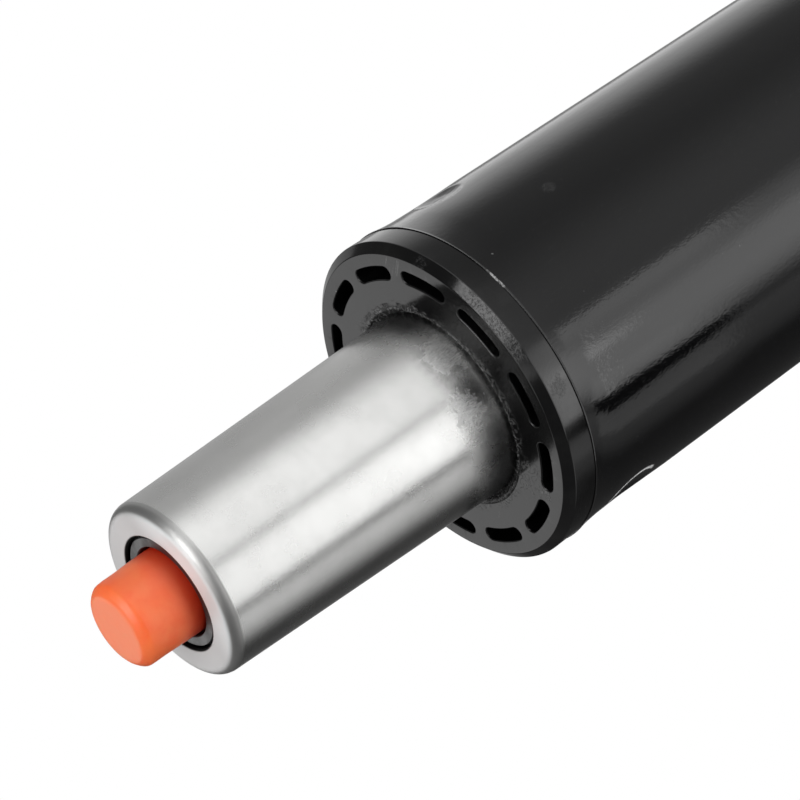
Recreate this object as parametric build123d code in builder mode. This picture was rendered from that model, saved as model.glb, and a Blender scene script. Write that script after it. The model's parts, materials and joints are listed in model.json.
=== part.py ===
from build123d import *
import os
from math import asin, cos, degrees, radians, sin, tan

# Gas lift column of a swivel chair, lowered to its shortest length. Millimetres.
# Z runs up the column's axis from its bottom rim to the release button.

os.makedirs("parts", exist_ok=True)

# Column tube and its base taper
column_d = 50.0
column_wall = 2.0
column_top = 230.0
seat_taper = tan(radians(1 + 26 / 60 + 16 / 3600))
base_taper_length = 65.0
mouth_flare = 0.42
mouth_flare_height = 5.0
rim_thickness = 2.0
rim_bore_r = 17.5
rim_round = 1.6
mouth_round = 0.15
dimple_z = 219.5
dimple_r = 4.0
dimple_depth = 0.7
dimple_angles = (-13.0, -170.0)

# Guide bush
collar_height = 5.0
collar_face_r = 24.0
collar_edge_r = 25.3
collar_seam_r = 25.25
collar_chamfer_height = 1.15
seam_round = 0.1
bush_length = 75.0
bush_mouth_r = 15.1
bush_mouth_depth = 0.8
bush_foot_bevel = 1.0
slot_count = 12
slot_mid_r = 21.0
slot_width = 2.0
slot_span = 22.8
slot_first_angle = 14.5
slot_depth = 60.0

# Gas spring
cylinder_d = 28.8
cylinder_wall = 1.6
cylinder_foot = 33.0
taper_start = column_top + collar_height
tip_z = 284.4
tip_round = 1.6
tip_hole_r = 8.7
tip_hole_round = 0.45
lip_thickness = 1.8
foot_hole_r = 8.0
liner_bore_r = 10.2
liner_wall = 1.0
stroke = 120.0
stop_gap = 0.3
rod_r = 5.0
rod_shoulder = 15.0
piston_seat = 233.0
piston_height = 8.0
washer_thickness = 1.5

# Release valve
button_r = 6.45
button_tip_r = 6.3
button_top = 293.3
button_foot = 271.5
button_travel = 4.5
valve_bore_r = 6.85
pin_r = 2.5
pin_head_r = 4.0
neck_r = 8.4

# Thrust bearing and foot of the rod
spigot_r = 4.0
plate_thickness = 2.5
plate_underside = 6.5
ball_r = 2.0
ball_count = 10
ball_pitch_r = 8.6

# Fits: shafts in bores, parts pressed together
running = 0.06
seated = 0.05

column_r = column_d / 2
column_bore_r = column_r - column_wall
rim_r = column_r - base_taper_length * seat_taper
cylinder_r = cylinder_d / 2
cylinder_bore_r = cylinder_r - cylinder_wall


def cylinder_bore_at(z):
    """Inside radius of the pressure tube, which narrows in its seat taper."""
    return cylinder_bore_r - seat_taper * max(0.0, z - taper_start)


def half_ring(r_in, r_out, low, high, bevel=0.0):
    """Half section of a flat ring about the Z axis, its outer corners bevelled."""
    with BuildSketch(Plane.XZ) as section:
        with BuildLine():
            Polyline((r_in, low), (r_out, low), (r_out, high), (r_in, high), close=True)
        make_face()
        if bevel:
            chamfer(section.vertices().group_by(Axis.X)[-1], length=bevel)
    return section.sketch


# Outer column tube: straight barrel, base taper, rolled bottom rim and two crimp dimples

dimple_sphere_r = (dimple_r**2 + dimple_depth**2) / (2 * dimple_depth)
dimple_axis_r = column_r - dimple_depth + dimple_sphere_r
dimple_centres = [
    (dimple_axis_r * cos(radians(angle)), dimple_axis_r * sin(radians(angle)), dimple_z)
    for angle in dimple_angles
]

with BuildPart() as dimple_backs:
    with Locations(*dimple_centres):
        Sphere(dimple_sphere_r + column_wall)
    with Locations((0, 0, dimple_z)):
        Cylinder(column_r - column_wall / 2, 4 * dimple_r, mode=Mode.INTERSECT)

with BuildPart() as outer_tube:
    with BuildSketch(Plane.XZ) as section:
        with BuildLine():
            barrel = Polyline(
                (rim_bore_r, rim_thickness),
                (rim_bore_r, 0),
                (rim_r, 0),
                (column_r, base_taper_length),
                (column_r, column_top - mouth_flare_height),
            )
            flare = TangentArc(barrel @ 1, (column_r + mouth_flare, column_top), tangent=(0, 1))
            mouth = Line(flare @ 1, (column_bore_r + mouth_flare, column_top))
            bore = Polyline(
                (column_bore_r, column_top - mouth_flare_height),
                (column_bore_r, base_taper_length),
                (rim_r - column_wall, rim_thickness),
                (rim_bore_r, rim_thickness),
            )
            TangentArc(bore @ 0, mouth @ 1, tangent=(0, 1))
        make_face()
        rim_corner = section.vertices().group_by(Axis.Y)[0].sort_by(Axis.X)[-1]
        fillet(rim_corner, radius=rim_round)
        mouth_corner = section.vertices().group_by(Axis.Y)[-1].sort_by(Axis.X)[-1]
        fillet(mouth_corner, radius=mouth_round)
    revolve(axis=Axis.Z)
    add(dimple_backs.part)
    with Locations(*dimple_centres):
        Sphere(dimple_sphere_r, mode=Mode.SUBTRACT)

# Guide bush: collar on the tube's mouth, long bore for the pressure tube, twelve cored slots

bush_foot = taper_start - bush_length - collar_height
bush_r = column_bore_r - seated
bush_bore_r = cylinder_r + running
slot_end_angle = degrees(asin(slot_width / 2 / slot_mid_r))
slot_arc_span = slot_span - 2 * slot_end_angle

with BuildLine() as slot_path:
    CenterArc((0, 0), slot_mid_r, -slot_arc_span / 2, slot_arc_span)

with BuildPart() as guide_bush:
    with BuildSketch(Plane.XZ) as section:
        with BuildLine():
            Polyline(
                (bush_bore_r, bush_foot),
                (bush_r, bush_foot),
                (bush_r, column_top),
                (collar_seam_r, column_top),
                (collar_edge_r, taper_start - collar_chamfer_height),
                (collar_face_r, taper_start),
                (bush_mouth_r, taper_start),
                (bush_bore_r, taper_start - bush_mouth_depth),
                close=True,
            )
        make_face()
        chamfer(section.vertices().group_by(Axis.Y)[0], length=bush_foot_bevel)
        seam_corner = section.vertices().sort_by_distance((collar_seam_r, column_top))[0]
        fillet(seam_corner, radius=seam_round)
    revolve(axis=Axis.Z)
    with BuildSketch(Plane.XY.offset(taper_start)):
        with PolarLocations(0, slot_count, start_angle=slot_first_angle):
            SlotArc(slot_path.wires()[0], slot_width)
    extrude(amount=-slot_depth, mode=Mode.SUBTRACT)
    with Locations(*dimple_centres):
        Sphere(dimple_sphere_r + column_wall + seated, mode=Mode.SUBTRACT)

# Base plate: dished pressing that rests on the rolled rim and carries the thrust bearing

plate_top = plate_underside + plate_thickness
plate_r = rim_r - column_wall - seated
dish_r = 11.0
dish_foot_r = 14.0
dish_offset = 0.6
dish_round = 1.2
plate_bevel = 0.6

with BuildPart() as base_plate:
    with BuildSketch(Plane.XZ) as section:
        with BuildLine():
            Polyline(
                (spigot_r + running, plate_underside),
                (dish_r, plate_underside),
                (dish_foot_r, rim_thickness),
                (plate_r, rim_thickness),
                (plate_r, rim_thickness + plate_thickness),
                (dish_foot_r + dish_offset, rim_thickness + plate_thickness),
                (dish_r + dish_offset, plate_top),
                (spigot_r + running, plate_top),
                close=True,
            )
        make_face()
        bend_limits = (dish_r - dish_offset, dish_foot_r + 2 * dish_offset)
        fillet(section.vertices().filter_by_position(Axis.X, *bend_limits), radius=dish_round)
        chamfer(section.vertices().group_by(Axis.X)[-1], length=plate_bevel)
    revolve(axis=Axis.Z)

# Thrust bearing: grooved washers above and below a ring of caged balls

race_thickness = 1.8
race_r = 12.5
race_bevel = 0.3
lower_race_clearance = 0.6
cage_clearance = 1.2
cage_inset = 0.8
cage_half_height = 0.8
ball_z = (plate_top + rod_shoulder) / 2
race_groove_r = ball_r + running
lower_race_top = plate_top + race_thickness
upper_race_foot = rod_shoulder - race_thickness

with BuildPart() as bearing_lower_race:
    race_bore_r = spigot_r + lower_race_clearance
    revolve(half_ring(race_bore_r, race_r, plate_top, lower_race_top, race_bevel), axis=Axis.Z)
    with Locations((0, 0, ball_z)):
        Torus(ball_pitch_r, race_groove_r, mode=Mode.SUBTRACT)

with BuildPart() as bearing_upper_race:
    revolve(half_ring(spigot_r + seated, race_r, upper_race_foot, rod_shoulder, race_bevel), axis=Axis.Z)
    with Locations((0, 0, ball_z)):
        Torus(ball_pitch_r, race_groove_r, mode=Mode.SUBTRACT)

with BuildPart() as bearing_cage:
    cage_section = half_ring(
        spigot_r + cage_clearance, race_r - cage_inset, ball_z - cage_half_height, ball_z + cage_half_height
    )
    revolve(cage_section, axis=Axis.Z)
    with Locations((0, 0, ball_z)):
        with PolarLocations(ball_pitch_r, ball_count):
            Sphere(ball_r + seated, mode=Mode.SUBTRACT)

with BuildPart() as bearing_balls:
    with Locations((0, 0, ball_z)):
        with PolarLocations(ball_pitch_r, ball_count):
            Sphere(ball_r)

# Piston rod: clip groove and spigot at the foot, shoulder on the bearing, peened upper end

rod_foot = 2.4
clip_thickness = 1.0
clip_z = 4.2
clip_groove_r = 3.0
rod_neck_r = 3.0
piston_stack_top = piston_seat + piston_height + 2 * washer_thickness
peen_height = 1.6
peen_spread = 1.4
spigot_bevel = 0.8
rod_bevel = 0.3

with BuildPart() as piston_rod:
    with BuildSketch(Plane.XZ) as section:
        with BuildLine():
            shank = Polyline(
                (0, piston_stack_top + peen_height),
                (0, rod_foot),
                (spigot_r, rod_foot),
                (spigot_r, clip_z - seated),
                (clip_groove_r, clip_z - seated),
                (clip_groove_r, clip_z + clip_thickness + seated),
                (spigot_r, clip_z + clip_thickness + seated),
                (spigot_r, rod_shoulder),
                (rod_r, rod_shoulder),
                (rod_r, piston_seat),
                (rod_neck_r, piston_seat),
                (rod_neck_r, piston_stack_top),
                (rod_neck_r + peen_spread, piston_stack_top),
            )
            TangentArc(shank @ 0, shank @ 1, tangent=(1, 0))
        make_face()
        foot_corner = section.vertices().group_by(Axis.Y)[0].sort_by(Axis.X)[-1]
        chamfer(foot_corner, length=spigot_bevel)
        rod_corners = section.vertices().group_by(Axis.X)[-1]
        chamfer(rod_corners, length=rod_bevel)
    revolve(axis=Axis.Z)

# Washer and spring clip that hold the rod under the base plate

lock_washer_r = 9.0
lock_washer_foot = clip_z + clip_thickness + 2 * seated
lock_washer_top = plate_underside - 2 * seated
lock_washer_bevel = 0.2

with BuildPart() as lock_washer:
    washer_section = half_ring(
        spigot_r + seated, lock_washer_r, lock_washer_foot, lock_washer_top, lock_washer_bevel
    )
    revolve(washer_section, axis=Axis.Z)

clip_r = 6.8
clip_relief_r = 4.7
clip_prong_width = 2.2
clip_prong_length = 3.2
clip_mouth_width = 5.4

with BuildPart() as retaining_clip:
    with BuildSketch(Plane.XY.offset(clip_z)):
        Circle(clip_r)
        Circle(clip_relief_r, mode=Mode.SUBTRACT)
        with Locations((clip_r, 0)):
            Rectangle(2 * clip_r, clip_mouth_width, mode=Mode.SUBTRACT)
        with PolarLocations((clip_groove_r + clip_r) / 2, 3, start_angle=60):
            Rectangle(clip_prong_length, clip_prong_width)
        Circle(clip_groove_r + seated, mode=Mode.SUBTRACT)
    extrude(amount=clip_thickness)

# Rubber buffer between the bearing and the foot of the pressure tube

buffer_top = cylinder_foot - seated
buffer_end_r = 10.5
buffer_bulge_r = 11.6
buffer_waist_r = 9.0
buffer_mid = (rod_shoulder + buffer_top) / 2

with BuildPart() as rubber_buffer:
    with BuildSketch(Plane.XZ) as section:
        with BuildLine():
            lower = ThreePointArc(
                (buffer_end_r, rod_shoulder),
                (buffer_bulge_r, (rod_shoulder + buffer_mid) / 2),
                (buffer_waist_r, buffer_mid),
            )
            upper = ThreePointArc(
                lower @ 1,
                (buffer_bulge_r, (buffer_mid + buffer_top) / 2),
                (buffer_end_r, buffer_top),
            )
            Polyline(upper @ 1, (rod_r + seated, buffer_top), (rod_r + seated, rod_shoulder), lower @ 0)
        make_face()
    revolve(axis=Axis.Z)

# Piston, its seal and its backing washers on the rod's neck

piston_foot = piston_seat + washer_thickness
piston_top = piston_foot + piston_height
piston_r = liner_bore_r - 2 * seated
piston_land = 2.6
lower_washer_r = 9.0
upper_washer_r = 7.5
seal_section_r = 1.2
piston_groove_r = piston_r - 2 * seal_section_r

with BuildPart() as piston:
    with BuildSketch(Plane.XZ):
        with BuildLine():
            Polyline(
                (rod_neck_r + seated, piston_foot),
                (piston_r, piston_foot),
                (piston_r, piston_foot + piston_land),
                (piston_groove_r, piston_foot + piston_land),
                (piston_groove_r, piston_top - piston_land),
                (piston_r, piston_top - piston_land),
                (piston_r, piston_top),
                (rod_neck_r + seated, piston_top),
                close=True,
            )
        make_face()
    revolve(axis=Axis.Z)

with BuildPart() as piston_seal:
    with Locations((0, 0, (piston_foot + piston_top) / 2)):
        Torus(liner_bore_r - seated - seal_section_r, seal_section_r)

with BuildPart() as piston_washers:
    revolve(half_ring(rod_neck_r + seated, lower_washer_r, piston_seat, piston_foot), axis=Axis.Z)
    revolve(half_ring(rod_neck_r + seated, upper_washer_r, piston_top, piston_stack_top), axis=Axis.Z)

# Pressure tube: straight barrel, seat taper, rolled-in foot and rolled-in tip

tip_r = cylinder_r - seat_taper * (tip_z - taper_start)
lip_under = tip_z - lip_thickness

with BuildPart() as pressure_tube:
    with BuildSketch(Plane.XZ) as section:
        with BuildLine():
            Polyline(
                (foot_hole_r, cylinder_foot),
                (cylinder_r, cylinder_foot),
                (cylinder_r, taper_start),
                (tip_r, tip_z),
                (tip_hole_r, tip_z),
                (tip_hole_r, lip_under),
                (cylinder_bore_at(lip_under), lip_under),
                (cylinder_bore_r, taper_start),
                (cylinder_bore_r, cylinder_foot + lip_thickness),
                (foot_hole_r, cylinder_foot + lip_thickness),
                close=True,
            )
        make_face()
        fillet(section.vertices().sort_by_distance((tip_r, tip_z))[0], radius=tip_round)
        fillet(section.vertices().sort_by_distance((tip_hole_r, tip_z))[0], radius=tip_hole_round)
        foot_corner = section.vertices().group_by(Axis.Y)[0].sort_by(Axis.X)[-1]
        fillet(foot_corner, radius=tip_round)
    revolve(axis=Axis.Z)

# Guide and seal pack at the foot of the pressure tube

end_plate_thickness = 2.0
guide_length = 14.0
lip_seal_height = 6.5
seal_plate_thickness = 2.0
pack_clearance = 0.3
pack_bevel = 0.3
guide_bevel = 0.5
groove_side_gap = 0.2
cut_past = 1.0
pack_foot = cylinder_foot + lip_thickness
guide_foot = pack_foot + end_plate_thickness
guide_top = guide_foot + guide_length
lip_seal_top = guide_top + lip_seal_height
seal_plate_top = lip_seal_top + seal_plate_thickness
liner_foot = seal_plate_top
pack_r = cylinder_bore_r - seated
guide_groove_z = (guide_foot + guide_top) / 2
guide_seal_section_r = 1.1

with BuildPart() as end_plate:
    revolve(half_ring(rod_r + pack_clearance, pack_r, pack_foot, guide_foot, pack_bevel), axis=Axis.Z)

with BuildPart() as rod_guide:
    revolve(half_ring(rod_r + running, pack_r, guide_foot, guide_top, guide_bevel), axis=Axis.Z)
    groove_half = guide_seal_section_r + groove_side_gap
    groove_r = pack_r - 2 * guide_seal_section_r
    groove_section = half_ring(
        groove_r, pack_r + cut_past, guide_groove_z - groove_half, guide_groove_z + groove_half
    )
    revolve(groove_section, axis=Axis.Z, mode=Mode.SUBTRACT)

with BuildPart() as rod_guide_seal:
    with Locations((0, 0, guide_groove_z)):
        Torus(pack_r - guide_seal_section_r, guide_seal_section_r)

# Lip seal: a wiping lip on the rod and a sealing lip on the tube, with an open groove between them
seal_heel_gap = 0.6
seal_lip_r = rod_r + running
seal_lip_back_r = rod_r + 0.5
seal_lip_face_r = rod_r + 1.8
seal_groove_in_r = rod_r + 2.6
seal_groove_out_r = rod_r + 4.2
seal_rim = 2.2
seal_groove_foot = guide_top + 2.4
seal_lip_edge = lip_seal_top - 1.2
seal_lip_root = lip_seal_top - 3.0

with BuildPart() as rod_seal:
    with BuildSketch(Plane.XZ):
        with BuildLine():
            Polyline(
                (rod_r + seal_heel_gap, guide_top),
                (pack_r, guide_top),
                (pack_r, lip_seal_top),
                (pack_r - seal_rim, lip_seal_top),
                (seal_groove_out_r, seal_groove_foot),
                (seal_groove_in_r, seal_groove_foot),
                (seal_lip_face_r, lip_seal_top),
                (seal_lip_back_r, lip_seal_top),
                (seal_lip_r, seal_lip_edge),
                (rod_r + seal_heel_gap, seal_lip_root),
                close=True,
            )
        make_face()
    revolve(axis=Axis.Z)

centring_height = 2.0
sleeve_r = 8.4
sleeve_clearance = 0.4
sleeve_bevel = 0.5
sleeve_foot = seal_plate_top + centring_height
sleeve_top = piston_seat - stroke - stop_gap

with BuildPart() as seal_plate:
    revolve(half_ring(rod_r + pack_clearance, pack_r, lip_seal_top, seal_plate_top, pack_bevel), axis=Axis.Z)
    centring_step = half_ring(rod_r + pack_clearance, liner_bore_r - seated, seal_plate_top, sleeve_foot)
    revolve(centring_step, axis=Axis.Z)

with BuildPart() as stop_sleeve:
    revolve(half_ring(rod_r + sleeve_clearance, sleeve_r, sleeve_foot, sleeve_top, sleeve_bevel), axis=Axis.Z)

# Valve body: button bore, pin bore with a seal on each side of the gas port, outer O-ring grooves

retainer_thickness = 1.4
pin_seal_section_r = 1.05
pin_pocket_r = pin_r + running + 2 * pin_seal_section_r
pin_pocket_height = 2 * (pin_seal_section_r + seated)
gallery_height = 5.4
recess_height = 4.4
spigot_height = 4.0
neck_depth = 0.5
neck_bevel = 0.15
shoulder_bevel = 0.5
bore_floor = button_foot - button_travel
upper_seal_foot = bore_floor - retainer_thickness - pin_pocket_height
gallery_foot = upper_seal_foot - gallery_height
lower_seal_foot = gallery_foot - pin_pocket_height
recess_top = lower_seal_foot - retainer_thickness
valve_foot = recess_top - recess_height
recess_r = 5.5
gallery_r = 3.3
port_r = 0.9
port_z = (gallery_foot + upper_seal_foot) / 2
liner_top = valve_foot + spigot_height
valve_r = 11.3
spigot_top_r = liner_bore_r - seated
neck_top = tip_z - neck_depth
body_seal_section_r = 1.1
body_seal_heights = (268.0, 274.0)

with BuildPart() as valve_body:
    with BuildSketch(Plane.XZ) as section:
        with BuildLine():
            Polyline(
                (valve_bore_r, neck_top),
                (valve_bore_r, bore_floor),
                (pin_pocket_r, bore_floor),
                (pin_pocket_r, upper_seal_foot),
                (gallery_r, upper_seal_foot),
                (gallery_r, gallery_foot),
                (pin_pocket_r, gallery_foot),
                (pin_pocket_r, recess_top),
                (recess_r, recess_top),
                (recess_r, valve_foot),
                (spigot_top_r, valve_foot),
                (spigot_top_r, liner_top),
                (valve_r, liner_top),
                (valve_r, lip_under),
                (neck_r, lip_under),
                (neck_r, neck_top),
                close=True,
            )
        make_face()
        shoulder = section.vertices().sort_by_distance((valve_r, lip_under))[0]
        chamfer(shoulder, length=shoulder_bevel)
        chamfer(section.vertices().group_by(Axis.Y)[-1], length=neck_bevel)
    revolve(axis=Axis.Z)
    for z in body_seal_heights:
        groove_foot = z - body_seal_section_r - groove_side_gap
        groove_top = z + body_seal_section_r + groove_side_gap
        groove_r = cylinder_bore_at(z) - seated - 2 * body_seal_section_r
        seal_groove = half_ring(groove_r, valve_r + cut_past, groove_foot, groove_top)
        revolve(seal_groove, axis=Axis.Z, mode=Mode.SUBTRACT)
    with Locations(Plane((0, 0, port_z), z_dir=(1, 0, 0))):
        Cylinder(port_r, 2 * valve_r + cut_past, mode=Mode.SUBTRACT)

with BuildPart() as valve_body_seals:
    for z in body_seal_heights:
        with Locations((0, 0, z)):
            Torus(cylinder_bore_at(z) - seated - body_seal_section_r, body_seal_section_r)

pin_seal_gap = 0.01

with BuildPart() as valve_pin_seals:
    for foot in (lower_seal_foot, upper_seal_foot):
        with Locations((0, 0, foot + pin_seal_section_r + seated)):
            Torus(pin_r + running + pin_seal_section_r - pin_seal_gap, pin_seal_section_r - pin_seal_gap)

with BuildPart() as pin_retainers:
    for foot in (recess_top, bore_floor - retainer_thickness):
        retainer = half_ring(pin_r + running, pin_pocket_r - seated, foot, foot + retainer_thickness)
        revolve(retainer, axis=Axis.Z)

# Liner tube in which the piston slides, with gas notches at its foot

notch_count = 4
notch_width = 4.0
notch_height = 2.5

with BuildPart() as inner_tube:
    revolve(half_ring(liner_bore_r, liner_bore_r + liner_wall, liner_foot, liner_top), axis=Axis.Z)
    with BuildSketch(Plane.XY.offset(liner_foot)):
        with PolarLocations(liner_bore_r + liner_wall / 2, notch_count):
            Rectangle(4 * liner_wall, notch_width)
    extrude(amount=notch_height, mode=Mode.SUBTRACT)

# Valve pin: head in the recess, waist that opens the port, stem into the button

head_top = recess_top - seated
pin_head_height = 1.8
head_foot = head_top - pin_head_height
waist_r = 1.8
waist_margin = 0.2
waist_slope = 0.5
stem_top = 280.0
stem_bevel = 0.4

with BuildPart() as valve_pin:
    with BuildSketch(Plane.XZ) as section:
        with BuildLine():
            Polyline(
                (0, head_foot),
                (pin_head_r, head_foot),
                (pin_head_r, head_top),
                (pin_r, head_top),
                (pin_r, gallery_foot + waist_margin),
                (waist_r, gallery_foot + waist_margin + waist_slope),
                (waist_r, upper_seal_foot - waist_margin - waist_slope),
                (pin_r, upper_seal_foot - waist_margin),
                (pin_r, stem_top),
                (0, stem_top),
                close=True,
            )
        make_face()
        chamfer(section.vertices().group_by(Axis.Y)[-1].sort_by(Axis.X)[-1], length=stem_bevel)
    revolve(axis=Axis.Z)

# Release button: slightly tapered plastic plunger with a soft bevel, pressed on the pin

button_bevel = 1.0
button_bevel_round = 0.35
button_foot_bevel = 0.5

with BuildPart() as release_button:
    with BuildSketch(Plane.XZ) as section:
        with BuildLine():
            Polyline(
                (pin_r + seated, button_foot),
                (button_r, button_foot),
                (button_r, tip_z),
                (button_tip_r, button_top),
                (0, button_top),
                (0, stem_top),
                (pin_r + seated, stem_top),
                close=True,
            )
        make_face()
        tip_corner = section.vertices().group_by(Axis.Y)[-1].sort_by(Axis.X)[-1]
        chamfer(tip_corner, length=button_bevel)
        bevel_ends = section.vertices().sort_by_distance((button_tip_r, button_top))[:2]
        fillet(bevel_ends, radius=button_bevel_round)
        foot_corner = section.vertices().group_by(Axis.Y)[0].sort_by(Axis.X)[-1]
        chamfer(foot_corner, length=button_foot_bevel)
    revolve(axis=Axis.Z)

pieces = {
    "outer_tube": outer_tube,
    "guide_bush": guide_bush,
    "base_plate": base_plate,
    "bearing_lower_race": bearing_lower_race,
    "bearing_cage": bearing_cage,
    "bearing_balls": bearing_balls,
    "bearing_upper_race": bearing_upper_race,
    "piston_rod": piston_rod,
    "lock_washer": lock_washer,
    "retaining_clip": retaining_clip,
    "rubber_buffer": rubber_buffer,
    "piston": piston,
    "piston_seal": piston_seal,
    "piston_washers": piston_washers,
    "pressure_tube": pressure_tube,
    "inner_tube": inner_tube,
    "end_plate": end_plate,
    "rod_guide": rod_guide,
    "rod_guide_seal": rod_guide_seal,
    "rod_seal": rod_seal,
    "seal_plate": seal_plate,
    "stop_sleeve": stop_sleeve,
    "valve_body": valve_body,
    "valve_body_seals": valve_body_seals,
    "valve_pin_seals": valve_pin_seals,
    "pin_retainers": pin_retainers,
    "valve_pin": valve_pin,
    "release_button": release_button,
}

for name, piece in pieces.items():
    piece.part.label = name
    export_step(piece.part, f"parts/{name}.step")
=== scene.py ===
import json
from math import asin, atan2, cos, hypot, pi, radians, remainder, sin, sqrt, tan

import bmesh
import bpy
from mathutils import Matrix, Vector, noise

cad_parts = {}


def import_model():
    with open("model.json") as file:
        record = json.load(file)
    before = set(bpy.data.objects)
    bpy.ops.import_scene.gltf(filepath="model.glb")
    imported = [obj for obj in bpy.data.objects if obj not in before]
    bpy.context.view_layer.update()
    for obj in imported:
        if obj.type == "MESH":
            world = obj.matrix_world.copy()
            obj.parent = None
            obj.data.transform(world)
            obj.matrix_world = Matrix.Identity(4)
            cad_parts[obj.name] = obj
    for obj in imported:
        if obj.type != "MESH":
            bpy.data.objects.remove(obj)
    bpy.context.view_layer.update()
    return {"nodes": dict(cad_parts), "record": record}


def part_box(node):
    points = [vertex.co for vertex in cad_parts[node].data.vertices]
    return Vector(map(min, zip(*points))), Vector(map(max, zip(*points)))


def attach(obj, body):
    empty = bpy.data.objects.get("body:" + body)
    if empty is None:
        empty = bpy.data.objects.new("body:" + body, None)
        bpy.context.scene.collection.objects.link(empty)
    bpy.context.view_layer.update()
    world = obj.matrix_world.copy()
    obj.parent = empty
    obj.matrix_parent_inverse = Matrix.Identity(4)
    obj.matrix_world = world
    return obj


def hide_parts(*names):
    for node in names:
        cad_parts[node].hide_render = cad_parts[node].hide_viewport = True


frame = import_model()

mm = 0.001
smooth_limit = radians(32)

# Sizes that the frame gives

mouth_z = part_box("outer_tube")[1].z
bush_low, bush_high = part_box("guide_bush")
spring_low, spring_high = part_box("pressure_tube")
button_low, button_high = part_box("release_button")
pin_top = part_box("valve_pin")[1].z

collar_top = bush_high.z
tip_z = spring_high.z
button_top = button_high.z

# Mesh making

# A profile's point nearer the axis than this, in metres, lies on it
axis_r = 1e-7


def arc(centre, radius, start, end, steps=8):
    """Points of a profile along an arc. Angles are in degrees, from the outward direction to upward."""
    turns = [radians(start + (end - start) * i / steps) for i in range(steps + 1)]
    return [(centre[0] + radius * cos(a), centre[1] + radius * sin(a)) for a in turns]


def even_turns(sides):
    return [2 * pi * i / sides for i in range(sides)]


def ring(shape, r, z, turns):
    """One circle of vertices, or the single vertex where a profile meets the axis."""
    if r < axis_r:
        return [shape.verts.new((0, 0, z))]
    return [shape.verts.new((r * cos(a), r * sin(a), z)) for a in turns]


def bridge(shape, low, high):
    """Faces between two neighbouring rings, either of which may be a single vertex."""
    count = max(len(low), len(high))
    for i in range(count):
        j = (i + 1) % count
        corners = [low[i % len(low)], low[j % len(low)], high[j % len(high)], high[i % len(high)]]
        shape.faces.new(list(dict.fromkeys(corners)))


def turned(shape, profile, turns, closed=True):
    """Turns a profile of (radius, height) points about the Z axis and returns its rings."""
    rings = [ring(shape, r, z, turns) for r, z in profile]
    for low, high in zip(rings, rings[1:]):
        bridge(shape, low, high)
    if closed:
        bridge(shape, rings[-1], rings[0])
    return rings


def piece(name, shape, material, body, node):
    """Finishes a mesh, gives it its material and lets it stand for its node."""
    bmesh.ops.recalc_face_normals(shape, faces=shape.faces[:])
    mesh = bpy.data.meshes.new(name)
    shape.to_mesh(mesh)
    shape.free()
    mesh.shade_smooth()
    mesh.set_sharp_from_angle(angle=smooth_limit)
    made = bpy.data.objects.new(name, mesh)
    bpy.context.scene.collection.objects.link(made)
    mesh.materials.append(material)
    weights = made.modifiers.new("even_normals", "WEIGHTED_NORMAL")
    weights.keep_sharp = True
    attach(made, body)
    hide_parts(node)


# Materials, with places and sizes on a piece in millimetres and angles in degrees

collar_line = collar_top / mm
mouth_line = mouth_z / mm
tip_line = tip_z / mm
# Radius in metres at which marks round the axis have their true length
marks_round_r = 0.02


def grey(value):
    return (value, value, value)


def at(radius, azimuth, height):
    """A point given by its distance from the axis, azimuth and height."""
    return (radius * cos(radians(azimuth)), radius * sin(radians(azimuth)), height)


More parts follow.
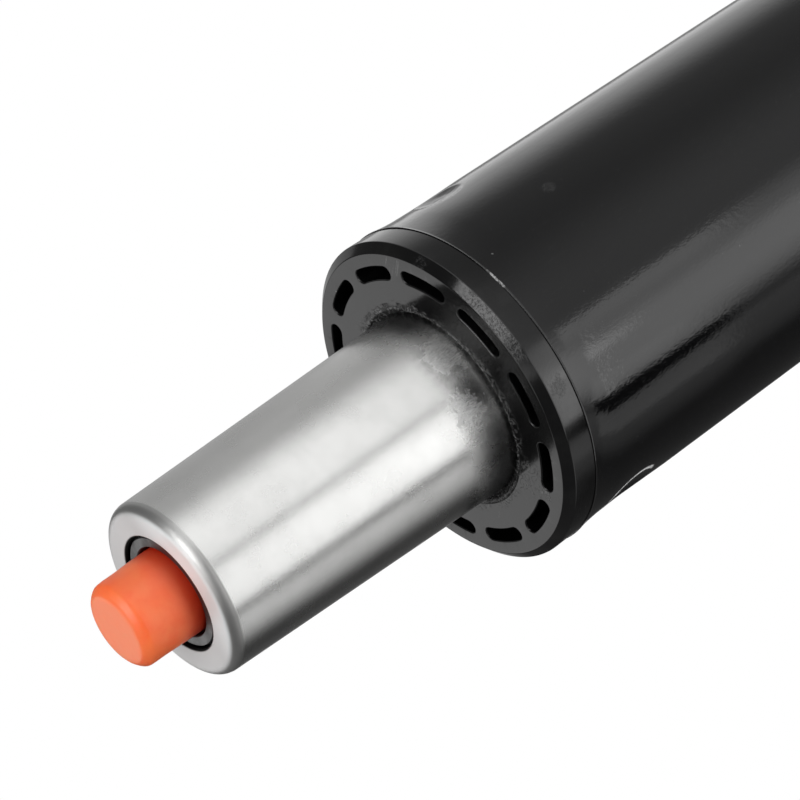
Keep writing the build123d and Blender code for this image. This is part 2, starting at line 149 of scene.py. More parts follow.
class Finish:
    """A node material with one Principled surface."""

    def __init__(self, name, colour, roughness, metallic=0.0, **more):
        self.material = bpy.data.materials.new(name)
        self.material.use_nodes = True
        self.tree = self.material.node_tree
        self.surface = self.tree.nodes["Principled BSDF"]
        self.set("Base Color", (*colour, 1))
        self.set("Roughness", roughness)
        self.set("Metallic", metallic)
        for key, value in more.items():
            self.set(key.replace("_", " "), value)

    def set(self, socket, value):
        self.feed(self.surface.inputs[socket], value)

    def feed(self, socket, value):
        if isinstance(value, bpy.types.NodeSocket):
            self.tree.links.new(value, socket)
        else:
            socket.default_value = value

    def node(self, kind, *inputs, **settings):
        made = self.tree.nodes.new("ShaderNode" + kind)
        for key, value in settings.items():
            setattr(made, key, value)
        for socket, value in zip(made.inputs, inputs):
            self.feed(socket, value)
        return made

    def math(self, operation, *values):
        return self.node("Math", *values, operation=operation).outputs[0]

    def vector(self, operation, *values):
        return self.node("VectorMath", *values, operation=operation).outputs

    def times(self, product, *others):
        for value in others:
            product = self.math("MULTIPLY", product, value)
        return product

    def larger(self, largest, *others):
        for value in others:
            largest = self.math("MAXIMUM", largest, value)
        return largest

    def total(self, *parts):
        """Sum of (value, size) pairs."""
        so_far = 0.0
        for value, size in parts:
            so_far = self.math("MULTIPLY_ADD", value, size, so_far)
        return so_far

    def part(self, vector, axis):
        return self.node("SeparateXYZ", vector).outputs[axis]

    def flat(self, vector):
        """The vector without its height."""
        return self.node("CombineXYZ", self.part(vector, "X"), self.part(vector, "Y"), 0.0).outputs[0]

    def place(self, scale=(1, 1, 1)):
        """Position on the piece, stretched by scale."""
        where = self.node("TexCoord").outputs["Object"]
        return self.vector("MULTIPLY", where, [s / mm for s in scale])[0]

    def round_place(self, scale):
        """Position round the axis and along it, with no seam."""
        where = self.node("TexCoord").outputs["Object"]
        outward = self.vector("NORMALIZE", self.flat(where))[0]
        around = self.vector("MULTIPLY", outward, [scale[0] / mm * marks_round_r] * 3)[0]
        height = self.times(self.part(where, "Z"), scale[1] / mm)
        along = self.node("CombineXYZ", 0.0, 0.0, height).outputs[0]
        return self.vector("ADD", around, along)[0]

    def from_axis(self, where):
        return self.vector("LENGTH", self.flat(where))["Value"]

    def upward(self):
        """How far the surface faces up, 1 on a level face and 0 on a wall."""
        return self.part(self.node("NewGeometry").outputs["Normal"], "Z")

    def noise(self, where, scale, detail=3.0, rough=0.55, distortion=0.0):
        made = self.node("TexNoise")
        self.feed(made.inputs["Vector"], where)
        made.inputs["Scale"].default_value = scale
        made.inputs["Detail"].default_value = detail
        made.inputs["Roughness"].default_value = rough
        made.inputs["Distortion"].default_value = distortion
        return made.outputs["Fac"]

    def span(self, value, low, high, out_low=0.0, out_high=1.0):
        """A value spread smoothly from one range to another."""
        made = self.node("MapRange", value, low, high, out_low, out_high, interpolation_type="SMOOTHSTEP")
        return made.outputs["Result"]

    def blend(self, share, first, second):
        made = self.node("Mix", data_type="RGBA")
        self.feed(made.inputs["Factor"], share)
        for socket, value in (("A", first), ("B", second)):
            target = [s for s in made.inputs if s.name == socket and s.type == "RGBA"][0]
            self.feed(target, (*value, 1) if isinstance(value, tuple) else value)
        return [s for s in made.outputs if s.type == "RGBA"][0]

    def threads(self, where, scale, width, wander):
        """Thin wandering lines, where a noise passes through its middle."""
        off_middle = self.math("SUBTRACT", self.noise(where, scale, 3.0, 0.5, wander), 0.5)
        return self.span(self.math("ABSOLUTE", off_middle), width, width * 0.3)

    def scratches(self, where, turn, share):
        """Thin straight marks, all in one direction."""
        made = self.node("VectorRotate", where, rotation_type="Z_AXIS")
        made.inputs["Angle"].default_value = radians(turn)
        long_way = self.vector("MULTIPLY", made.outputs[0], (0.12, 3.5, 0.8))[0]
        return self.span(self.noise(long_way, 1.0, 2.0, 0.5), share, share + 0.03)

    def spot(self, where, centre, reach, ragged=0.5, core=0.75):
        """A patch round a point. Its full core and its ragged edge are given as shares of its reach."""
        away = self.vector("DISTANCE", where, centre)["Value"]
        edge = self.noise(where, 1.2 / reach**0.5, 4.0, 0.65)
        wavy = self.math("MULTIPLY_ADD", edge, 2 * ragged * reach, away)
        return self.span(wavy, reach * (1.15 + ragged), reach * (core + ragged))

    def hoop(self, where, centre, size, width):
        """A thin ring round a point."""
        away = self.vector("DISTANCE", where, centre)["Value"]
        return self.span(self.math("ABSOLUTE", self.math("SUBTRACT", away, size)), width, width * 0.4)

    def bump(self, height, depth):
        made = self.node("Bump")
        made.inputs["Strength"].default_value = 1.0
        made.inputs["Distance"].default_value = depth
        self.feed(made.inputs["Height"], height)
        self.set("Normal", made.outputs["Normal"])


def black_paint():
    """Gloss paint with orange peel, hairlines, nicks and dust, steel bare at a chip, and a painted highlight
    along a crease.
    """
    black = (0.003, 0.003, 0.0032)
    nick = at(25, -49.3, 212)
    fleck = at(25, -59, 227)
    dimple = at(25, -170, 219.5)
    chip = at(25.4, -66.7, mouth_line)
    f = Finish("black_paint", black, 0.05)
    where = f.place()
    y = f.part(where, "Y")
    z = f.part(where, "Z")
    peel = f.noise(where, 0.45, 2.0)
    brushed = f.noise(f.place((1, 1, 0.5)), 2.4, 2.0)
    fine = f.noise(where, 1.7, 2.0)
    hairy = f.noise(f.place((1, 1, 0.4)), 4.5, 2.0, 0.6)
    f.bump(f.total((peel, 0.010), (brushed, 0.013), (fine, 0.0035), (hairy, 0.006)), mm)
    dust = f.span(f.noise(where, 2.6, 2.0, 0.7), 0.735, 0.78)
    hairlines = f.span(f.noise(f.round_place((34.0, 0.12)), 1.0, 2.0), 0.72, 0.76)
    nicks = f.times(f.spot(where, nick, 1.1), f.threads(where, 2.0, 0.022, 2.0))
    marks = f.larger(dust, f.times(hairlines, 0.35), nicks, f.spot(where, fleck, 0.17))
    painted = f.blend(marks, black, grey(0.09))

    # A painted highlight, drawn as bare steel, runs along the near side of the dimple's crease, and steel
    # shows at a chip in the tube's mouth
    painted_crease_highlight = f.times(
        f.hoop(where, dimple, 4.3, 0.55),
        f.span(y, -3.9, -5.0),
        f.span(z, 215.7, 216.6),
        f.span(fine, 0.3, 0.6, 0.35, 1.0),
    )
    chipped = f.times(
        f.spot(where, chip, 1.8, 0.4),
        f.span(z, mouth_line - 0.4, mouth_line - 0.25),
        f.span(fine, 0.4, 0.6, 0.05, 0.4),
    )
    chip_and_crease_highlight = f.larger(painted_crease_highlight, chipped)
    f.set("Base Color", f.blend(chip_and_crease_highlight, painted, grey(0.8)))
    wear = f.noise(f.place((1, 1, 0.25)), 0.12, 4.0)
    f.set("Roughness", f.total((f.span(wear, 0.35, 0.75, 0.03, 0.07), 1.0), (chip_and_crease_highlight, 0.4)))
    return f.material


def black_plastic():
    """Moulded black plastic with flow marks, worn places on its bevel and side, grease round the bore and
    painted highlights in its mouth.
    """
    bevel_nick = at(24.4, -44.7, collar_line - 0.5)
    bevel_rub = at(24.7, -78, collar_line - 0.6)
    side_rub = at(25.2, -105, collar_line - 3)
    lower_smear = at(18.4, -147, collar_line)
    upper_smear = at(18.6, -48, collar_line)
    slot_scratch = at(22.5, -31, collar_line)
    bore_scratch = at(16.2, 170, collar_line)
    speck_place = at(22.23, 15.2, collar_line)
    f = Finish("black_plastic", (0.004, 0.004, 0.0042), 0.2)
    where = f.place()
    radius = f.from_axis(where)
    x = f.part(where, "X")
    z = f.part(where, "Z")
    on_face = f.span(f.upward(), 0.93, 0.985)
    off_face = f.math("SUBTRACT", 1.0, on_face)

    # Places rubbed pale on the bevel and the side
    grit = f.noise(where, 4.0, 3.0, 0.65)
    sparkle = f.span(f.noise(where, 2.6, 4.0, 0.75), 0.46, 0.66)
    on_bevel = f.span(z, collar_line - 1.25, collar_line - 1.1)
    worn_bevel = f.larger(f.spot(where, bevel_nick, 1.2, 1.2), f.spot(where, bevel_rub, 6.0, 0.5))
    worn_side = f.spot(where, side_rub, 1.3, 1.5)
    worn_place = f.larger(f.times(worn_bevel, on_bevel), f.times(worn_side, 0.7))
    worn = f.times(worn_place, sparkle, off_face)

    # Crusted mouth of the bore, with pale threads painted on it as highlights
    crackle = f.noise(where, 1.5, 4.0, 0.75, 0.8)
    crumbly = f.times(f.span(x, 8.0, 11.0), f.span(f.noise(where, 0.8, 3.0), 0.48, 0.56))
    rim = f.larger(f.span(radius, 15.9, 15.5), f.times(f.span(radius, 16.5, 15.8), crumbly))
    mouth = f.times(rim, f.span(z, collar_line - 1.4, collar_line - 1.0))
    mouth_glints = f.times(mouth, f.threads(where, 1.1, 0.03, 1.0))

    # Grease, hairs and scratches on the collar's face
    near_bore = f.times(f.span(radius, 17.4, 16.0), f.span(f.noise(where, 0.13, 2.0), 0.46, 0.56))
    smear = f.larger(f.spot(where, lower_smear, 3.2, 0.8), near_bore)
    greasy = f.times(f.larger(smear, f.spot(where, upper_smear, 2.0, 0.8)), on_face)
    hairs = f.times(smear, on_face, f.threads(where, 0.6, 0.035, 1.4))
    scratched = f.larger(f.spot(where, slot_scratch, 1.8), f.spot(where, bore_scratch, 2.2))
    lines = f.times(scratched, f.scratches(where, 62, 0.6), on_face)
    speck = f.spot(where, speck_place, 0.13)

    relief = f.total(
        (grit, 0.003),
        (f.noise(where, 1.0, 2.0), 0.005),
        (hairs, 0.03),
        (f.times(worn, grit), 0.022),
        (f.times(mouth, crackle), 0.7),
    )
    f.bump(relief, mm)
    flow = f.noise(f.place((1, 1, 0.5)), 0.22, 4.0, 0.6, 0.4)
    skin = f.span(flow, 0.3, 0.7, 0.1, 0.16)
    f.set("Roughness", f.larger(f.total((worn, 0.07), (greasy, -0.06), (skin, 1.0)), 0.06))
    tone = f.blend(f.span(flow, 0.4, 0.8), (0.002, 0.002, 0.0021), (0.005, 0.005, 0.0051))
    marks = f.total((worn, 0.08), (hairs, 0.55), (lines, 0.4), (speck, 1.0))
    marked = f.blend(marks, tone, grey(0.12))
    # Pale threads in the bore's mouth are painted highlights
    f.set("Base Color", f.blend(mouth_glints, marked, grey(0.22)))
    return f.material


def bare_steel():
    """Ground steel with fine rings and rub marks near the bush, painted shade near the bush and in its hole,
    and a dull end with a painted glint.
    """
    upper_chafe = at(14.4, -67, collar_line + 2.2)
    lower_chafe = at(14.4, -99, collar_line + 4.5)
    shade_spot = at(14.4, -94, collar_line + 2.6)
    f = Finish("bare_steel", (0.62, 0.62, 0.61), 0.27, 1.0, Anisotropic=0.6, Anisotropic_Rotation=0.25)
    f.set("Tangent", f.node("Tangent", direction_type="RADIAL", axis="Z").outputs[0])
    where = f.place()
    x = f.part(where, "X")
    y = f.part(where, "Y")
    z = f.part(where, "Z")

    # Turned rings, and marks rubbed in near the bush
    rings = f.noise(f.round_place((1.0, 9.0)), 1.0, 3.0, 0.6)
    rubs = f.noise(f.round_place((14.0, 0.35)), 1.0, 3.0, 0.6)
    grain = f.noise(where, 3.0, 3.0, 0.6)
    feather = f.noise(f.round_place((26.0, 0.4)), 1.0, 4.0, 0.65)
    leafy = f.noise(f.round_place((30.0, 0.9)), 1.0, 4.0, 0.65, 1.3)
    sandy = f.noise(where, 4.5, 2.0, 0.6)
    near_bush = f.span(f.total((feather, -8.0), (z, 1.0)), collar_line + 3.0, collar_line - 2.5)
    chafed = f.larger(f.spot(where, upper_chafe, 3.0, 1.3), f.spot(where, lower_chafe, 2.4, 1.6))
    leaves = f.times(chafed, f.span(leafy, 0.42, 0.66))
    scuff = f.times(f.larger(near_bush, chafed), f.total((leafy, 0.6), (sandy, 0.3)))
    f.bump(f.total((rings, 0.003), (rubs, 0.006), (grain, 0.0012), (scuff, 0.05)), mm)

    # The rolled end is duller than the tube
    bloom = f.noise(where, 0.16, 4.0, 0.6)
    satin = f.span(bloom, 0.3, 0.7, 0.24, 0.28)
    end = f.span(z, tip_line - 1.9, tip_line - 1.2)
    near_end = f.times(end, f.span(y, 1.0, -6.0))
    flat = f.times(f.span(f.upward(), 0.8, 0.98), end)
    f.set("Roughness", f.total((end, 0.1), (near_end, 0.1), (flat, 0.07), (leaves, 0.1), (satin, 1.0)))
    f.set("Metallic", f.total((flat, -0.5), (leaves, -0.25), (1.0, 1.0)))

    # Painted shade near the bush darkens the steel, also in the pattern of the rub marks; the rubbed leaves
    # are light, and the end's face carries a painted glint
    tone = f.blend(f.span(bloom, 0.35, 0.75), (0.63, 0.63, 0.62), (0.6, 0.6, 0.59))
    shaded_rubs = f.times(near_bush, f.span(leafy, 0.5, 0.62, 0, 0.35))
    rub_shaded = f.blend(shaded_rubs, tone, grey(0.35))
    lowest = f.span(x, -6.5, -11.5)
    shade_height = f.total((leafy, 2.0), (lowest, -1.0), (z, 1.0))
    shade_sides = f.larger(f.span(x, -3.5, -7.5), f.span(x, 8.0, 11.5))
    shade_band = f.times(f.span(shade_height, collar_line + 8.0, collar_line + 3.0), shade_sides)
    painted_shade = f.larger(f.spot(where, shade_spot, 3.0, 0.15, 0.0), shade_band)
    shaded_steel = f.blend(f.times(painted_shade, 0.85), rub_shaded, grey(0.13))
    leafed = f.blend(leaves, shaded_steel, grey(0.72))
    # Painted glint: the end's face is lighter on its near side, and cooler there to take out the button's
    # orange reflection
    painted_end_glint = f.blend(f.span(y, -2.5, -9.0), grey(0.62), (0.85, 0.88, 0.885))
    glinting_end = f.blend(flat, leafed, painted_end_glint)
    # Painted shade: the steel in the hole and inside the tube is nearly black
    hole = f.span(f.from_axis(where), 9.0, 8.8)
    f.set("Base Color", f.blend(hole, glinting_end, grey(0.02)))
    return f.material


def orange_plastic():
    """Slightly translucent orange moulding with faint sink marks, a painted sheen on its face and painted
    shade, a deep dark red, near its foot.
    """
    f = Finish("orange_plastic", (0.95, 0.19, 0.05), 0.42, Subsurface_Weight=0.4, Specular_IOR_Level=0.6)
    f.set("Subsurface Radius", (1.0, 0.25, 0.1))
    f.set("Subsurface Scale", 1.2 * mm)
    where = f.place()
    sink = f.noise(where, 0.5, 2.0)
    fine = f.noise(where, 5.0, 3.0)
    f.bump(f.total((sink, 1.0), (fine, 0.08)), 0.06 * mm)
    shade = f.span(f.noise(where, 0.3, 3.0), 0.35, 0.7)
    skin = f.blend(shade, (1.0, 0.19, 0.054), (0.98, 0.152, 0.04))
    # Painted sheen: the upward face is paler than the sides
    face = f.span(f.upward(), 0.86, 0.98)
    pale = f.blend(face, skin, (1.0, 0.225, 0.085))
    # Painted shade: near its foot, where it stands in the steel, the button turns a deep, dark red
    foot = f.span(f.part(where, "Z"), tip_line + 4.0, tip_line - 1.5)
    f.set("Base Color", f.blend(foot, pale, (0.6, 0.022, 0.005)))
    return f.material


def plated(name, light, dark, roughness):
    """Plated or machined metal with a mottled tone and turning marks."""
    f = Finish(name, light, roughness, 1.0)
    tone = f.noise(f.place(), 0.48, 4.0, 0.6)
    turning = f.noise(f.place((0.2, 0.2, 4.0)), 1.2, 3.0)
    f.set("Base Color", f.blend(f.span(tone, 0.3, 0.7), light, dark))
    f.set("Roughness", f.span(tone, 0.3, 0.7, roughness * 0.8, roughness * 1.2))
    f.bump(turning, 0.008 * mm)
    return f.material


def moulded(name, light, dark, roughness):
    """Plastic or rubber with a fine skin and a slight change of tone."""
    f = Finish(name, light, roughness)
    tone = f.noise(f.place(), 0.4, 4.0, 0.6)
    skin = f.noise(f.place(), 2.0, 3.0)
    f.set("Base Color", f.blend(f.span(tone, 0.3, 0.7), light, dark))
    f.set("Roughness", f.span(skin, 0.3, 0.7, roughness * 0.85, roughness * 1.15))
    f.bump(skin, 0.02 * mm)
    return f.material


finishes = {
    "black_paint": black_paint(),
    "black_plastic": black_plastic(),
    "bare_steel": bare_steel(),
    "orange_plastic": orange_plastic(),
    "valve_metal": plated("valve_metal", grey(0.17), grey(0.13), 0.45),
    "zinc_steel": plated("zinc_steel", (0.62, 0.63, 0.66), grey(0.5), 0.3),
    "hard_steel": plated("hard_steel", (0.6, 0.6, 0.61), (0.52, 0.52, 0.53), 0.16),
    "rod_steel": plated("rod_steel", (0.68, 0.68, 0.69), (0.6, 0.6, 0.61), 0.12),
    "spring_steel": plated("spring_steel", (0.16, 0.15, 0.15), (0.1, 0.1, 0.11), 0.34),
    "piston_metal": plated("piston_metal", (0.7, 0.7, 0.71), (0.58, 0.58, 0.6), 0.3),
    "guide_brass": plated("guide_brass", (0.75, 0.53, 0.22), (0.62, 0.42, 0.18), 0.3),
    "black_rubber": moulded("black_rubber", grey(0.02), grey(0.03), 0.6),
    "natural_plastic": moulded("natural_plastic", (0.78, 0.75, 0.66), (0.7, 0.67, 0.58), 0.4),
}

# Column tube: flared mouth, base taper and two crimp dimples with soft rims

column_r = 25.0 * mm
column_wall = 2.0 * mm
taper_length = 65.0 * mm
seat_taper = tan(radians(1 + 26 / 60 + 16 / 3600))
flare = 0.39 * mm
flare_height = 5.0 * mm
rim_round = 1.6 * mm
rim_thickness = 2.0 * mm
rim_bore_r = 17.5 * mm
mouth_round = 0.07 * mm
dimple_z = 219.5 * mm
dimple_r = 4.0 * mm
dimple_depth = 0.7 * mm
dimple_angles = (radians(-13), radians(-170))
# Softness of a dimple's crease, as a share of its depth
dimple_edge = 0.07
crumple_depth = 0.05 * mm
crumple_scale = 1300
# How far crumples and the sink round a dimple reach, in dimple radii
crumple_reach = 1.1
sink_reach = 2.3
sink_round_dimple = 0.18 * mm
# Steps round the tube in degrees, and how near a dimple the fine ones are
fine_step = 0.4
wide_step = 1.5
fine_near = radians(11)
# The wall's inside has one row for this many outside
inside_share = 4
# Heights up to which rows of the wall run, from the base taper on, and the count of rows in each run
wall_runs = [
    (dimple_z - 4 * dimple_r, 6),
    (dimple_z - 1.3 * dimple_r, 12),
    (dimple_z + 1.3 * dimple_r, 46),
    (mouth_z - mouth_round, 16),
]


def flared(r, z):
    """Radius of the tube's wall at a height, with the flare of its mouth."""
    rise = max(0.0, z - (mouth_z - flare_height)) / flare_height
    return r + flare * rise**2


def off_dimple(angle):
    """The turn from an angle to the nearer dimple."""
    return min(abs(remainder(angle - centre, 2 * pi)) for centre in dimple_angles)


def dent(co):
    """How far the nearer dimple pushes the wall in at a point, with a soft crease and small crumples."""
    away = hypot(off_dimple(atan2(co.y, co.x)) * column_r, co.z - dimple_z) / dimple_r
    if away > sink_reach:
        return 0.0
    bowl = 1 - away**2
    soft_bowl = (bowl + sqrt(bowl**2 + dimple_edge**2)) / 2
    sink = (1 - (away / sink_reach) ** 2) ** 2
    crumple = noise.noise(co * crumple_scale) * max(0.0, crumple_reach - away)
    return dimple_depth * soft_bowl + sink_round_dimple * sink + crumple_depth * crumple


def column_turns():
    """Angles round the tube, closer together at the dimples."""
    turns = []
    angle = -180.0
    while angle < 180:
        turns.append(radians(angle))
        angle += fine_step if off_dimple(radians(angle)) < fine_near else wide_step
    return turns


def column_tube():
    rim_r = column_r - taper_length * seat_taper
    heights = [taper_length]
    for top, rows in wall_runs:
        foot = heights[-1]
        heights += [foot + (top - foot) * (i + 1) / rows for i in range(rows)]
    outside = [(flared(column_r, z), z) for z in heights]
    inside_heights = heights[::inside_share] + heights[-1:]
    inside = [(flared(column_r - column_wall, z), z) for z in reversed(inside_heights)]
    rim = arc((rim_r - rim_round, rim_round), rim_round, -90, 0)
    mouth = arc((flared(column_r, mouth_z) - mouth_round, mouth_z - mouth_round), mouth_round, 10, 90, 5)
    foot_inside = [(rim_r - column_wall, rim_thickness), (rim_bore_r, rim_thickness), (rim_bore_r, 0)]
    shape = bmesh.new()
    turned(shape, rim + outside + mouth + inside + foot_inside, column_turns())
    for vert in shape.verts:
        push = dent(vert.co)
        if push:
            out = Vector((vert.co.x, vert.co.y, 0)).normalized()
            vert.co -= out * push
    piece("column_tube", shape, finishes["black_paint"], "column", "outer_tube")


column_tube()

# Guide bush: chamfered collar with twelve kidney-shaped cored slots

collar_face_r = 24.0 * mm
collar_edge_r = 25.3 * mm
collar_seam_r = 25.25 * mm
collar_chamfer = 1.15 * mm
# The chamfer's two edges are soft: distances of their points from the sharp edges, along and across
outer_edge_along = 0.15 * mm
outer_edge_across = 0.03 * mm
face_edge_along = 0.12 * mm
face_edge_down = 0.1 * mm
face_edge_dip = 0.02 * mm
seam_gap = 0.02 * mm
seam_round = 0.05 * mm
bush_play = 0.05 * mm
bush_r = column_r - column_wall - bush_play
bush_bore_r = 14.46 * mm
bush_mouth_r = 15.1 * mm
bush_mouth_depth = 0.8 * mm
bush_mouth_round = 0.3 * mm
mouth_steps = 5
mouth_flash = 0.09 * mm
flash_scale = 1100
slot_count = 12
slot_mid_r = 21.0 * mm
slot_half_width = 1.0 * mm
slot_span = radians(22.8)
slot_first = radians(14.5)
slot_depth = 60.0 * mm
slot_edge = 0.24 * mm
slot_along = 14
slot_cap = 8
bush_sides = 240


def slot_outline(shape, centre, grow, z):
    """One loop of vertices round a slot, grown outward by a distance."""
    half = slot_half_width + grow
    end = slot_span / 2 - asin(slot_half_width / slot_mid_r)
    points = []
    for side, first in ((1, 0), (-1, pi)):
        for i in range(slot_along + 1):
            a = centre - side * end + side * 2 * end * i / slot_along
            points.append(((slot_mid_r + side * half) * cos(a), (slot_mid_r + side * half) * sin(a)))
        middle = centre + side * end
        cx, cy = slot_mid_r * cos(middle), slot_mid_r * sin(middle)
        for i in range(1, slot_cap):
            a = middle + first + pi * i / slot_cap
            points.append((cx + half * cos(a), cy + half * sin(a)))
    return [shape.verts.new((x, y, z)) for x, y in points]


def cored_slot(shape, centre):
    """A slot with a rounded edge, its walls and its floor. Returns the loop in the collar's face."""
    top = slot_outline(shape, centre, slot_edge, collar_top)
    last = top
    for turn in (30, 60, 90):
        grow = slot_edge * (1 - sin(radians(turn)))
        drop = slot_edge * (1 - cos(radians(turn)))
        below = slot_outline(shape, centre, grow, collar_top - drop)
        bridge(shape, last, below)
        last = below
    floor_loop = slot_outline(shape, centre, 0, collar_top - slot_depth)
    bridge(shape, last, floor_loop)
    shape.faces.new(floor_loop)
    return top


def guide_bush():
    shape = bmesh.new()
    seam = mouth_z + seam_gap
    foot = bush_low.z
    chamfer_foot = collar_top - collar_chamfer
    outside = [
        (bush_bore_r, foot),
        (bush_r, foot),
        (bush_r, seam),
        *arc((collar_seam_r - seam_round, seam + seam_round), seam_round, -90, 0, 4),
        (collar_edge_r, chamfer_foot - outer_edge_along),
        (collar_edge_r - outer_edge_across, chamfer_foot),
        (collar_face_r + face_edge_along, collar_top - face_edge_down),
        (collar_face_r, collar_top - face_edge_dip),
        (collar_face_r - face_edge_along, collar_top),
    ]
    mouth_centre = (bush_mouth_r + bush_mouth_round, collar_top - bush_mouth_round)
    mouth = arc(mouth_centre, bush_mouth_round, 90, 180, mouth_steps)
    mouth.append((bush_bore_r, collar_top - bush_mouth_depth))
    outer = turned(shape, outside, even_turns(bush_sides), closed=False)
    inner = turned(shape, mouth, even_turns(bush_sides), closed=False)
    bridge(shape, inner[-1], outer[0])
    loops = [outer[-1], inner[0]]
    for k in range(slot_count):
        loops.append(cored_slot(shape, slot_first + 2 * pi * k / slot_count))
    rims = []
    for loop in loops:
        for a, b in zip(loop, loop[1:] + loop[:1]):
            rims.append(shape.edges.get((a, b)) or shape.edges.new((a, b)))
    bmesh.ops.triangle_fill(shape, use_beauty=True, use_dissolve=False, edges=rims, normal=(0, 0, 1))
    for loop in inner[:mouth_steps + 1]:
        for vert in loop:
            vert.co.xy *= 1 + mouth_flash / bush_mouth_r * noise.noise(vert.co * flash_scale)
    piece("guide_collar", shape, finishes["black_plastic"], "column", "guide_bush")


guide_bush()

# Pressure tube: seat taper, rolled-in tip and foot

cylinder_r = 14.4 * mm
cylinder_wall = 1.6 * mm
tip_round = 1.6 * mm
tip_hole_r = 8.7 * mm
lip_thickness = 1.8 * mm
hole_edge = 0.45 * mm
foot_hole_r = 8.0 * mm
taper_rows = 12
# Angle at which the tip's round leaves the taper, in degrees, and its steps
tip_start = 4
tip_steps = 12
hole_steps = 5
cylinder_sides = 256


def pressure_tube():
    taper_foot = collar_top
    bore_r = cylinder_r - cylinder_wall
    tip_r = cylinder_r - seat_taper * (tip_z - taper_foot)
    under = tip_z - lip_thickness
    foot = spring_low.z
    above = foot + lip_thickness
    heights = [taper_foot + (tip_z - tip_round - taper_foot) * i / taper_rows for i in range(taper_rows + 1)]
    outside = arc((cylinder_r - tip_round, foot + tip_round), tip_round, -90, 0)
    outside += [(cylinder_r - seat_taper * max(0.0, z - taper_foot), z) for z in heights]
    tip = arc((tip_r - tip_round, tip_z - tip_round), tip_round, tip_start, 90, tip_steps)
    hole = arc((tip_hole_r + hole_edge, tip_z - hole_edge), hole_edge, 90, 180, hole_steps)
    inside = [
        (tip_hole_r, under),
        (bore_r - seat_taper * (under - taper_foot), under),
        (bore_r, taper_foot),
        (bore_r, above),
        (foot_hole_r, above),
        (foot_hole_r, foot),
    ]
    shape = bmesh.new()
    turned(shape, outside + tip + hole + inside, even_turns(cylinder_sides))
    piece("steel_cylinder", shape, finishes["bare_steel"], "cylinder", "pressure_tube")


pressure_tube()

# Release button: plastic plunger with a soft bevelled edge and slightly sunken sides

button_r = 6.45 * mm
button_tip_r = 6.3 * mm
button_foot_bevel = 0.5 * mm
button_foot_gap = 0.05 * mm
pin_hole_r = 2.55 * mm
button_rows = 24
button_sides = 160
# Depth below the face and distance in from the side, along the soft bevel, in millimetres
button_bevel = [
    (1.45, 0.0),
    (1.2, 0.05),
    (1.0, 0.16),
    (0.8, 0.32),
    (0.45, 0.68),
    (0.3, 0.85),
    (0.14, 1.12),
    (0.04, 1.4),
]
# Shares of the face's radius at which its rings lie
face_rings = (0.9, 0.75, 0.6, 0.45, 0.3, 0.15, 0)
face_margin = 0.1 * mm
# Sink marks in the side: their depth, how fine they are, and the lift that spreads them
sink_depth = 0.09 * mm
sink_scale = 330
sink_lift = 0.3


def release_button():
    foot = button_low.z + button_foot_gap
    side_foot = foot + button_foot_bevel
    pin_hole = [(0, pin_top), (pin_hole_r, pin_top), (pin_hole_r, foot), (button_r - button_foot_bevel, foot)]
    bevel = [(button_tip_r - inward * mm, button_top - depth * mm) for depth, inward in button_bevel]
    rows = [side_foot + (bevel[0][1] - side_foot) * i / button_rows for i in range(button_rows)]
    narrow = (button_r - button_tip_r) / (button_top - tip_z)
    side = [(button_r - narrow * max(0.0, z - tip_z), z) for z in rows]
    face_r = bevel[-1][0]
    face = [(face_r * share, button_top) for share in face_rings]
    shape = bmesh.new()
    turned(shape, pin_hole + side + bevel + face, even_turns(button_sides), closed=False)
    for vert in shape.verts:
        out = Vector((vert.co.x, vert.co.y, 0))
        if tip_z < vert.co.z < button_top - face_margin and out.length > mm:
            sunk = max(0.0, noise.noise(vert.co * sink_scale) + sink_lift)
            vert.co -= out.normalized() * sink_depth * sunk
    piece("push_button", shape, finishes["orange_plastic"], "valve", "release_button")


release_button()

# Finishes of the carried-over nodes

for entry in frame["record"]["subparts"]:
    for holder in frame["nodes"][entry["node"]].material_slots:
        holder.material = finishes[entry["material_slot"]]

# Studio: floor, world, light tent and soft lamps, in metres

floor_r = 6
# Where the floor starts to run out to white, and where it is white
floor_soft = (0.09, 0.17)
sky_strength = 0.12


def camera_ray(tree):
    return tree.nodes.new("ShaderNodeLightPath").outputs["Is Camera Ray"]


def floor():
    """A pale floor that keeps the shadow near the part and runs out to white."""
    bpy.ops.mesh.primitive_circle_add(vertices=96, radius=floor_r, fill_type="NGON")
    ground = bpy.context.object
    ground.name = "floor"
    f = Finish("pale_floor", grey(0.86), 0.8)
    where = f.node("NewGeometry").outputs["Position"]
    away = f.vector("LENGTH", where)["Value"]
    share = f.times(f.span(away, *floor_soft), camera_ray(f.tree))
    white = f.node("Emission", (1, 1, 1, 1), 1.0).outputs[0]
    mix = f.node("MixShader", share, f.surface.outputs[0], white).outputs[0]
    f.feed(f.tree.nodes["Material Output"].inputs["Surface"], mix)
    ground.data.materials.append(f.material)


def world():
    """An even pale sky, plain white where the camera sees it."""
    sky = bpy.data.worlds.new("studio")
    bpy.context.scene.world = sky
    sky.use_nodes = True
    tree = sky.node_tree
    plain = tree.nodes["Background"]
    plain.inputs["Color"].default_value = (1, 1, 1, 1)
    lift = tree.nodes.new("ShaderNodeMapRange")
    tree.links.new(camera_ray(tree), lift.inputs["Value"])
    lift.inputs["To Min"].default_value = sky_strength
    lift.inputs["To Max"].default_value = 1.0
    tree.links.new(lift.outputs["Result"], plain.inputs["Strength"])


tent_r = 0.2
tent_height = 0.26
tent_sides = 180
tent_seam = 135
# How far creases in the cloth shift the glows, in degrees, and their scale
tent_crumple = 5.0
tent_crease_scale = 70.0
# Glow where there is no patch
tent_base = 0.05
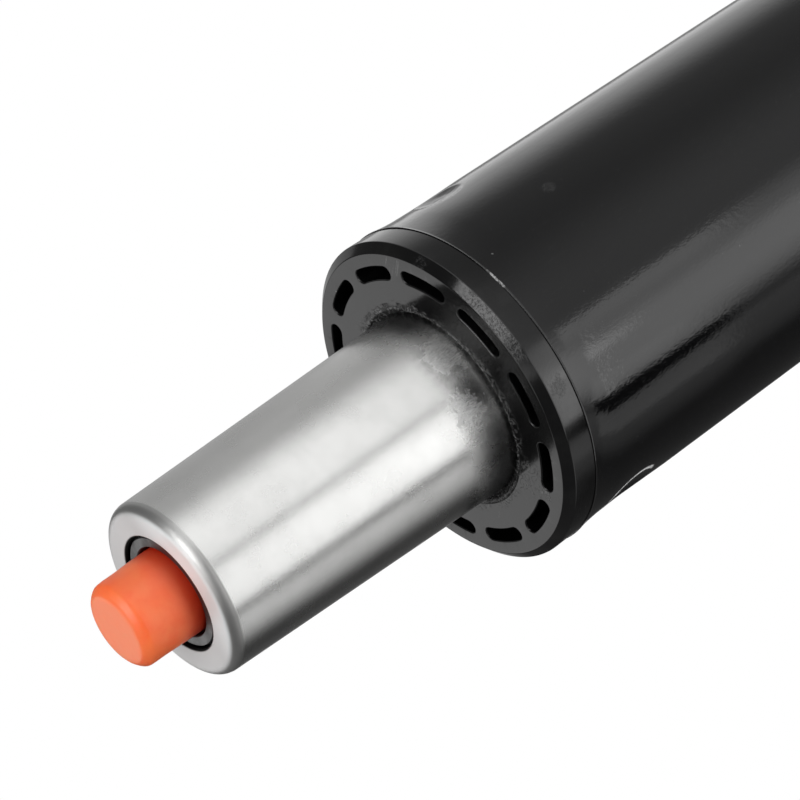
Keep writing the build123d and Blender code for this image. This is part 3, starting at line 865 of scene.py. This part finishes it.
# Glows on the tent's wall, by row: first and last azimuth, soft edge of each in degrees, and strength
glows_shared = [
    (-134, -108, 10, 6, 0.8),
    (-104, -50, 6, 25, 0.33),
    (-100, 87, 8, 15, 0.25),
    (17, 61, 18, 3, 0.77),
    (46, 61, 6, 3, 0.12),
    (70, 88, 4, 6, 0.12),
]
glows_foot = glows_shared + [
    (-178, -152, 10, 4, 0.25),
    (-143, -98, 8, 12, 1.35),
    (-160, -143, 14, 8, 0.22),
]
glows_middle = glows_shared + [
    (-169.5, -152.5, 2.5, 1, 0.33),
    (-181, -152.5, 12, 1, 0.27),
    (-144.5, -98, 1, 12, 1.35),
]
glows_top = [
    (-186, -154, 20, 3, 0.75),
    (-146, -94, 2, 2, 1.42),
    (-88, -26, 2, 24, 1.0),
    (-91, 107, 3, 14, 0.42),
    (-12, 14, 6, 8, 0.07),
    (120, 176, 6, 6, 0.03),
]
# Each row of glows with the heights between which it takes over from the row below, in millimetres
tent_rows = [
    (-2, -1, glows_foot),
    (72, 84, glows_middle),
    (123, 150, glows_top),
]
# Patches that also have a bottom, a top and a soft edge in height, in millimetres
tent_patches = [
    (-101, -92.5, 9, 1, 0.9, 70, 123, 10),
    (-118, -112.5, 2.5, 2.5, 1.1, 104, 124, 3),
    (-144, -104, 1, 8, 1.05, 116, 126, 2),
    (-142, -131, 3, 3, 0.45, 88, 124, 10),
    (-154.5, -144, 1, 1, -1.0, 100, 124, 4),
    (-153, -146.5, 1, 1, -1.0, 84, 100, 4),
    (97, 106, 1.5, 4, 1.2, 20, 124, 10),
]


def light_tent():
    """A low cloth wall round the part, glowing in patches. Only reflections and soft light see it."""
    shape = bmesh.new()
    low = ring(shape, tent_r, 0, even_turns(tent_sides))
    high = ring(shape, tent_r, tent_height, even_turns(tent_sides))
    bridge(shape, low, high)
    mesh = bpy.data.meshes.new("light_tent")
    shape.to_mesh(mesh)
    shape.free()
    wall = bpy.data.objects.new("light_tent", mesh)
    bpy.context.scene.collection.objects.link(wall)
    wall.visible_camera = False
    wall.visible_shadow = False
    f = Finish("glowing_cloth", grey(0.5), 1.0)
    where = f.node("NewGeometry").outputs["Position"]
    turned_by = f.node("VectorRotate", where, rotation_type="Z_AXIS")
    turned_by.inputs["Angle"].default_value = radians(180 - tent_seam)
    x, y, height = f.node("SeparateXYZ", turned_by.outputs[0]).outputs
    angle = f.math("DEGREES", f.math("ARCTAN2", y, x))
    creases = f.vector("MULTIPLY", where, (1, 1, 4))[0]
    crumple = f.noise(creases, tent_crease_scale, 5.0, 0.7)
    shift = f.math("MULTIPLY_ADD", crumple, tent_crumple, tent_seam - 180 - tent_crumple / 2)
    azimuth = f.math("ADD", angle, shift)

    def band(value, start, end, soft_start, soft_end, strength):
        first = f.span(value, start - soft_start, start + soft_start, 0, strength)
        return f.times(first, f.span(value, end - soft_end, end + soft_end, 1, 0))

    level = f.times(height, 1 / mm)
    glow = tent_base
    for bottom, top, glows in tent_rows:
        total = tent_base
        for across in glows:
            total = f.math("ADD", total, band(azimuth, *across))
        rise = f.span(level, bottom, top)
        glow = f.math("MULTIPLY_ADD", rise, f.math("SUBTRACT", total, glow), glow)
    for *across, bottom, top, soft in tent_patches:
        upright = band(level, bottom, top, soft, soft, 1.0)
        patch = f.times(band(azimuth, *across), upright)
        glow = f.larger(f.math("ADD", glow, patch), 0.0)
    light = f.node("Emission", (1, 1, 1, 1), glow).outputs[0]
    f.feed(f.tree.nodes["Material Output"].inputs["Surface"], light)
    mesh.materials.append(f.material)


def lamp_at(name, azimuth, elevation, away, size, radiance, soft_only=False):
    """A square soft lamp aimed at the top of the column. One that is soft only isn't seen in reflections."""
    lamp = bpy.data.lights.new(name, "AREA")
    lamp.shape = "SQUARE"
    lamp.size = size
    lamp.energy = radiance * pi * size**2
    made = bpy.data.objects.new(name, lamp)
    bpy.context.scene.collection.objects.link(made)
    a, e = radians(azimuth), radians(elevation)
    back = Vector((cos(a) * cos(e), sin(a) * cos(e), sin(e)))
    made.location = Vector((0, 0, tip_z)) + back * away
    made.rotation_mode = "QUATERNION"
    made.rotation_quaternion = back.to_track_quat("Z", "Y")
    made.visible_camera = False
    made.visible_glossy = not soft_only


floor()
world()
light_tent()
lamp_at("overhead", -42, 60.5, 0.55, 0.31, 3.9)
lamp_at("zenith", -75, 84, 0.6, 0.45, 1.0)
lamp_at("background", 90, 34, 0.7, 0.5, 0.92)
lamp_at("fill", -45, 12, 0.75, 0.45, 0.8)
lamp_at("low_fill", -140, 0, 0.5, 0.4, 1.4, soft_only=True)
lamp_at("high_fill", -48, 62, 0.6, 0.5, 1.5, soft_only=True)

# Camera at the photograph's angle

camera_data = bpy.data.cameras.new("camera")
camera_data.sensor_width = 36
camera_data.lens = 133.384
camera_data.clip_start = 0.01
camera = bpy.data.objects.new("camera", camera_data)
bpy.context.scene.collection.objects.link(camera)
right = Vector((-0.56618, -0.39318, -0.72447))
up = Vector((0.82428, -0.27006, -0.49762))
forward = Vector((0.0, 0.87891, -0.47699))
turn = Matrix((right, up, -forward)).transposed().to_4x4()
camera.matrix_world = Matrix.Translation((0.0037773, -0.359992, 0.434910)) @ turn
bpy.context.scene.camera = camera
bpy.context.scene.view_settings.view_transform = "Standard"
